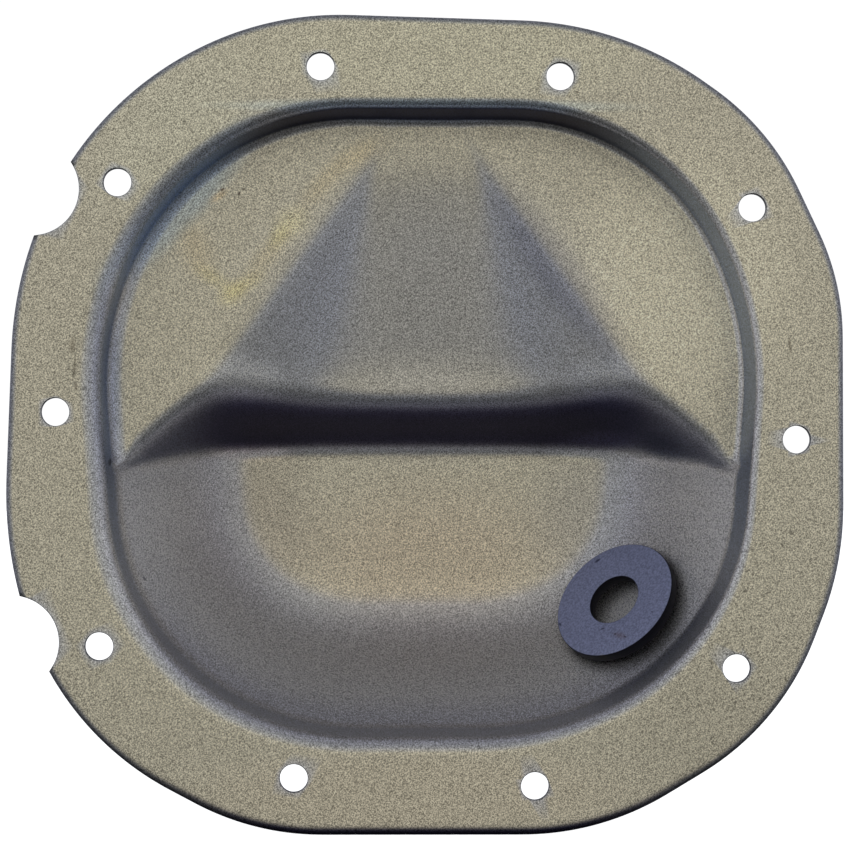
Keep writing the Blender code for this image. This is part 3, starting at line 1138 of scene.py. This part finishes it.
@dataclass(frozen=True)
class SteelFinish:
    """Bare cold-rolled sheet: matt and slightly tan, with painted shade that makes it darker and
    bluer where it tilts away from the front, and painted light on its steeply sloping sides.
    """

    flat_colour: Colour = (0.60, 0.565, 0.47)
    # Painted shade: darker and bluer where faces tilt away from the front.
    tilt_shade_colour: Colour = (0.52, 0.525, 0.545)
    # Painted light on steeply sloping sides.
    steep_light_colour: Colour = (0.79, 0.78, 0.82)
    # Painted shade on the walls.
    wall_shade_colour: Colour = (0.34, 0.395, 0.52)
    # Painted shade by the wall's foot.
    foot_shade_tint: Colour = (0.72, 0.73, 0.78)
    # Painted shade on faces that look down and along the flange's lowest edge.
    under_shade_colour: Colour = (0.052, 0.049, 0.098)
    # Painted shade along the flange's rolled edge.
    rim_shade_tint: Colour = (0.33, 0.34, 0.37)
    # Painted shade in the punched hole walls.
    cut_shade_colour: Colour = (0.06, 0.06, 0.06)
    roughness: float = 0.46
    grain: Grain = Grain(size=0.42 * MM, contrast=0.62)
    pit_size: float = 1.5 * MM
    pit_detail: float = 1.0
    pit_range: Pair = (0.64, 0.72)
    pit_depth: float = 0.62
    pitted: tuple[SoftSpot, ...] = (
        SoftSpot((112.0, -62.0), (48.0, 74.0), turn=-28.0, core=0.5),
        SoftSpot((-92.0, 96.0), (52.0, 24.0), turn=40.0, core=0.4),
        SoftSpot((-118.0, 16.0), (14.0, 40.0), core=0.4),
    )
    # Painted light and painted shade: soft spots that lighten or darken parts of the dish and
    # flange where more or less light falls on them.
    painted_light_and_shade: tuple[SoftSpot, ...] = (
        SoftSpot((0.0, 42.0), (76.0, 62.0), (0.97, 1.0, 1.13), core=0.3),
        SoftSpot((-63.0, 16.5), (19.0, 12.0), (1.50, 1.50, 1.52), core=0.2),
        SoftSpot((63.0, 16.5), (19.0, 12.0), (1.24, 1.26, 1.34), core=0.2),
        SoftSpot((62.5, -6.0), (22.0, 7.0), (2.1, 2.1, 1.95), turn=2.0, core=0.2),
        SoftSpot((-62.0, -8.5), (20.0, 4.5), (1.9, 1.8, 1.75), core=0.2),
        SoftSpot((85.0, -6.5), (13.0, 6.0), (0.50, 0.53, 0.62), turn=-30.0, core=0.2),
        SoftSpot((-63.0, -34.0), (34.0, 46.0), (0.84, 0.82, 0.83), core=0.2),
        SoftSpot((66.0, -34.0), (36.0, 46.0), (0.85, 0.86, 0.92), core=0.2),
        SoftSpot((73.0, -67.5), (10.0, 10.0), (1.25, 1.25, 1.25), core=0.5),
        SoftSpot((2.8, -51.3), (70.0, 45.0), (1.02, 0.955, 0.92), core=0.2),
        SoftSpot((86.0, 50.0), (50.0, 58.0), (1.22, 1.21, 1.19), core=0.3),
        SoftSpot((47.0, 53.0), (60.0, 11.0), (0.80, 0.81, 0.88), turn=-54.0, core=0.3),
        SoftSpot((-86.0, 100.0), (46.0, 26.0), (1.08, 1.10, 1.09), turn=45.0, core=0.3),
        SoftSpot((-109.0, 14.0), (7.0, 52.0), (0.68, 0.72, 0.82), core=0.2),
        SoftSpot((0.0, 108.0), (84.0, 3.6), (1.02, 1.18, 1.38), core=0.3),
        SoftSpot((-84.0, 76.0), (48.0, 9.0), (0.86, 0.98, 1.18), turn=48.0, core=0.3),
        SoftSpot((4.2, 126.0), (95.0, 22.0), (1.07, 1.08, 1.05), core=0.4),
        SoftSpot((-4.2, -124.0), (90.0, 20.0), (1.07, 1.045, 1.03), core=0.4),
        SoftSpot((96.0, -102.0), (40.0, 34.0), (0.93, 0.93, 0.93), core=0.3),
    )
    stains: tuple[SoftSpot, ...] = (
        SoftSpot((-46.5, 70.6), (10.0, 8.0), (1.20, 1.17, 1.00), turn=30.0),
        SoftSpot((-51.0, 65.5), (7.0, 4.5), (1.08, 1.07, 0.93), turn=60.0),
        SoftSpot((-66.8, 46.0), (8.0, 6.0), (1.20, 1.15, 0.92), turn=40.0),
        SoftSpot((-73.6, 51.6), (11.0, 4.5), (1.06, 1.04, 0.90), turn=-34.0),
        SoftSpot((-61.5, 49.6), (10.0, 4.5), (1.08, 1.05, 0.90), turn=30.0),
        SoftSpot((-23.1, 94.0), (16.0, 7.0), (1.08, 1.02, 0.91), turn=32.0),
        SoftSpot((-36.0, 83.5), (17.0, 6.0), (1.06, 1.01, 0.91), turn=50.0),
        SoftSpot((-54.0, 60.0), (20.0, 6.0), (1.05, 1.01, 0.91), turn=50.0),
        SoftSpot((-79.7, 62.0), (9.0, 18.0), (1.03, 0.98, 0.90), turn=20.0),
        SoftSpot((-71.6, 79.6), (5.5, 2.2), (1.12, 0.98, 0.82), turn=35.0),
    )
    marks: tuple[SoftSpot, ...] = (
        SoftSpot((-70.2, 81.9), (1.0, 0.45), (0.30, 0.24, 0.22), turn=30.0, core=0.4),
        SoftSpot((-64.5, 80.5), (1.1, 0.5), (0.34, 0.32, 0.32), turn=60.0, core=0.4),
        SoftSpot((-62.9, 82.0), (0.7, 0.4), (0.45, 0.43, 0.42), turn=10.0, core=0.4),
        SoftSpot((-119.3, 27.0), (1.6, 4.2), (0.66, 0.64, 0.62), turn=-6.0, core=0.2),
        SoftSpot((-118.6, 19.5), (0.7, 6.0), (0.52, 0.51, 0.50), turn=-5.0, core=0.3),
        SoftSpot((-118.1, 13.0), (0.8, 2.0), (0.60, 0.58, 0.57), turn=4.0, core=0.3),
        SoftSpot((122.8, 27.4), (0.7, 3.4), (0.62, 0.60, 0.58), turn=8.0, core=0.3),
        SoftSpot((50.6, 113.0), (0.8, 0.6), (0.50, 0.49, 0.48), core=0.4),
        SoftSpot((-115.3, -20.3), (0.35, 1.1), (0.45, 0.44, 0.44), turn=-18.0, core=0.4),
        SoftSpot((-108.0, -12.2), (0.4, 1.7), (0.25, 0.25, 0.28), turn=0.0, core=0.4),
        SoftSpot((-97.2, -52.4), (0.4, 1.2), (0.40, 0.40, 0.42), turn=35.0, core=0.4),
        SoftSpot((-1.2, -16.4), (0.9, 0.6), (0.60, 0.58, 0.58), core=0.3),
        SoftSpot((-10.0, -20.4), (0.8, 0.6), (0.62, 0.60, 0.60), core=0.3),
        SoftSpot((-6.7, -19.0), (0.6, 0.5), (0.66, 0.64, 0.64), core=0.3),
        SoftSpot((43.6, -51.7), (0.9, 0.6), (0.58, 0.56, 0.56), core=0.3),
    )

    def pits(self, making: Making, base: Socket) -> Socket:
        """Darkens small scattered pits in the parts of the flange that are pitted.

        Args:
            making: the material in the making.
            base: the colour under the pits.

        Returns:
            The socket with the pitted colour.
        """
        book = making.book
        pattern = book.noise(book.turned(making.place), 1.0 / self.pit_size, self.pit_detail)
        dots = book.remap(pattern, self.pit_range, (0.0, 1.0))
        dark = book.mix(dots, base, (self.pit_depth,) * 3, Blend.MULTIPLY)
        for region in self.pitted:
            base = book.mix(region.share(making), base, dark)
        return base

    def material(self, effects: Effects) -> Material:
        """Builds the steel's material.

        Args:
            effects: the shared node groups.

        Returns:
            The material.
        """
        made, book, shader = new_material("bare_pressed_steel")
        shader.inputs["Metallic"].default_value = 1.0
        shader.inputs["Roughness"].default_value = self.roughness
        making = Making(book, effects, book.add("ShaderNodeTexCoord").outputs["Object"])
        # Painted shade and painted light by how each face tilts and where it lies.
        base = book.mix(book.mask(Mask.TILT_SHADE), self.flat_colour, self.tilt_shade_colour)
        base = book.mix(book.mask(Mask.STEEP_LIGHT), base, self.steep_light_colour)
        base = book.mix(book.mask(Mask.WALL), base, self.wall_shade_colour)
        base = book.mix(book.mask(Mask.UNDER_SHADE), base, self.under_shade_colour)
        plain = book.mix(book.mask(Mask.FOOT_SHADE), base, self.foot_shade_tint, Blend.MULTIPLY)
        base = plain
        # Soft spots of painted light and shade, then the real stains and marks.
        for spot in (*self.painted_light_and_shade, *self.stains, *self.marks):
            base = spot.lay(making, base)
        base = self.pits(making, base)
        base = book.mix(book.mask(Mask.INNER), plain, base)
        # Painted shade along the flange's rolled edge and in the punched hole walls.
        base = book.mix(book.mask(Mask.RIM_SHADE), base, self.rim_shade_tint, Blend.MULTIPLY)
        base = book.mix(book.mask(Mask.CUT), base, self.cut_shade_colour)
        book.join(self.grain.lay(making, base), shader.inputs["Base Color"])
        return made


@dataclass(frozen=True)
class FerriteFinish:
    """Sintered ferrite: blue-grey with painted sheen on its front face, and painted shade that
    makes its other faces near black.
    """

    # Painted sheen on the front face; painted shade on the other faces.
    sheen_face_colour: Colour = (0.222, 0.248, 0.415)
    shaded_side_colour: Colour = (0.004, 0.0035, 0.008)
    roughness: float = 0.5
    gloss: float = 0.12
    grain: Grain = Grain(size=0.7 * MM, contrast=0.25)
    chips: tuple[SoftSpot, ...] = (
        SoftSpot((62.3, -80.2), (2.0, 1.1), (1.9, 1.6, 0.75), turn=-10.0, core=0.4),
        SoftSpot((62.8, -47.6), (1.7, 0.5), (0.25, 0.25, 0.30), turn=38.0, core=0.3),
        SoftSpot((62.5, -70.7), (1.1, 0.35), (0.35, 0.33, 0.35), turn=20.0, core=0.3),
        SoftSpot((67.9, -72.6), (3.2, 1.8), (0.80, 0.68, 0.62), turn=-12.0),
        SoftSpot((66.4, -72.2), (0.6, 0.4), (0.40, 0.36, 0.36), turn=60.0, core=0.3),
        SoftSpot((69.5, -72.9), (0.7, 0.4), (0.40, 0.36, 0.36), turn=-30.0, core=0.3),
        SoftSpot((83.9, -62.1), (0.9, 0.5), (0.50, 0.50, 0.50), turn=50.0, core=0.3),
        SoftSpot((48.6, -69.9), (0.9, 0.6), (0.30, 0.30, 0.35), turn=-50.0, core=0.3),
        SoftSpot((78.9, -64.3), (0.6, 0.4), (0.50, 0.50, 0.50), core=0.3),
    )

    def material(self, effects: Effects) -> Material:
        """Builds the ferrite's material.

        Args:
            effects: the shared node groups.

        Returns:
            The material.
        """
        made, book, shader = new_material("sintered_ferrite")
        shader.inputs["Roughness"].default_value = self.roughness
        shader.inputs["Specular IOR Level"].default_value = self.gloss
        making = Making(book, effects, book.add("ShaderNodeTexCoord").outputs["Object"])
        # Painted sheen on the front face, painted shade elsewhere.
        base = book.mix(book.mask(Mask.FACE), self.shaded_side_colour, self.sheen_face_colour)
        for chip in self.chips:
            base = chip.lay(making, base)
        book.join(self.grain.lay(making, base), shader.inputs["Base Color"])
        return made


@dataclass(frozen=True)
class Studio:
    """A pale floor under a large soft light that comes from the viewer's side and from above."""

    floor_drop: float = 1.0 * MM
    floor_width: float = 12.0
    paper_colour: Colour = (0.85, 0.85, 0.85)
    paper_roughness: float = 0.9
    paper_glow: float = 0.85
    backdrop: float = 1.05
    camera_place: Point = (-23.7 * MM, -799.5 * MM, -14.0 * MM)
    view_width: float = 286.45 * MM
    sensor: float = 36.0
    picture: int = 850
    origin_pixel: Pair = (427.6, 425.8)
    clip: Pair = (0.01, 50.0)
    front_light: Colour = (0.68, 0.67, 0.62)
    side_light: Colour = (0.49, 0.505, 0.555)
    frontal_range: Pair = (0.1, -0.9)
    below_share: float = 0.04
    below_range: Pair = (-0.85, 0.12)
    zenith_share: float = 0.74
    zenith_range: Pair = (0.3, 1.0)

    def floor(self) -> None:
        """Lays the floor just under the part."""
        low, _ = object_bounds()
        deselect()
        height = low.z - self.floor_drop
        bpy.ops.mesh.primitive_plane_add(size=self.floor_width, location=(0.0, 0.0, height))
        floor = bpy.context.object
        floor.name = "floor"
        floor.visible_diffuse = False
        floor.visible_glossy = False
        made, book, shader = new_material("white_paper")
        book.give(self.paper_colour, shader.inputs["Base Color"])
        book.give(self.paper_roughness, shader.inputs["Roughness"])
        book.give(WHITE, shader.inputs["Emission Color"])
        book.give(self.paper_glow, shader.inputs["Emission Strength"])
        floor.data.materials.append(made)
        floor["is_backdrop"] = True

    def camera(self) -> None:
        """Sets the camera at the photograph's distance and angle, looking at the bolt centre."""
        data = bpy.data.cameras.new("camera")
        camera = bpy.data.objects.new("camera", data)
        bpy.context.scene.collection.objects.link(camera)
        place = Vector(self.camera_place)
        camera.location = place
        camera.rotation_mode = "QUATERNION"
        camera.rotation_quaternion = (-place).to_track_quat("-Z", "Y")
        data.sensor_width = self.sensor
        data.lens = self.sensor * place.length / self.view_width
        data.shift_x = (self.picture / 2 - self.origin_pixel[0]) / self.picture
        data.shift_y = (self.origin_pixel[1] - self.picture / 2) / self.picture
        data.clip_start, data.clip_end = self.clip
        bpy.context.scene.camera = camera

    def light(self) -> None:
        """Surrounds the part with a tent: bright in front, dimmer at the sides and dark below."""
        world = bpy.data.worlds.new("light_tent")
        bpy.context.scene.world = world
        world.use_nodes = True
        book = Palette(world.node_tree)
        for node in list(world.node_tree.nodes):
            world.node_tree.nodes.remove(node)
        direction = book.add("ShaderNodeTexCoord").outputs["Generated"]
        axes = book.add("ShaderNodeSeparateXYZ")
        book.join(direction, axes.inputs["Vector"])
        frontal = book.remap(axes.outputs["Y"], self.frontal_range, (0.0, 1.0))
        colour = book.mix(frontal, self.side_light, self.front_light)
        height = book.remap(axes.outputs["Z"], self.below_range, (self.below_share, 1.0))
        zenith = book.remap(axes.outputs["Z"], self.zenith_range, (1.0, self.zenith_share))
        share = book.add("ShaderNodeMath", operation="MULTIPLY")
        book.join(height, share.inputs[0])
        book.join(zenith, share.inputs[1])
        colour = book.mix(1.0, colour, book.grey(share.outputs["Value"]), Blend.MULTIPLY)
        tent = book.add("ShaderNodeBackground")
        book.join(colour, tent.inputs["Color"])
        white = book.add("ShaderNodeBackground")
        book.give(WHITE, white.inputs["Color"])
        book.give(self.backdrop, white.inputs["Strength"])
        path = book.add("ShaderNodeLightPath")
        seen = book.add("ShaderNodeMixShader")
        book.join(path.outputs["Is Camera Ray"], seen.inputs["Fac"])
        book.join(tent.outputs["Background"], seen.inputs[1])
        book.join(white.outputs["Background"], seen.inputs[2])
        output = book.add("ShaderNodeOutputWorld")
        book.join(seen.outputs["Shader"], output.inputs["Surface"])

    def build(self) -> None:
        """Sets up the floor, the camera and the light."""
        self.floor()
        self.camera()
        self.light()
        bpy.context.scene.view_settings.view_transform = "Standard"


def main() -> None:
    """Builds each piece, dresses it and reports it."""
    logging.basicConfig(level=logging.INFO)
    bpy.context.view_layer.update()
    effects = Effects(soft_spot_group(), grain_group())
    steel = SteelFinish().material(effects)
    ferrite = FerriteFinish().material(effects)
    for maker, material, node, slot in (
        (PressedCover(), steel, CadNode.COVER, Slot.STEEL),
        (RingMagnet(), ferrite, CadNode.MAGNET, Slot.FERRITE),
    ):
        piece = maker.build()
        piece.data.materials.clear()
        piece.data.materials.append(material)
        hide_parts(node.value)
        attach(piece, "root")
        LOG.info("%s: %d faces", piece.name, len(piece.data.polygons))
    Studio().build()


if __name__ == "__main__":
    main()
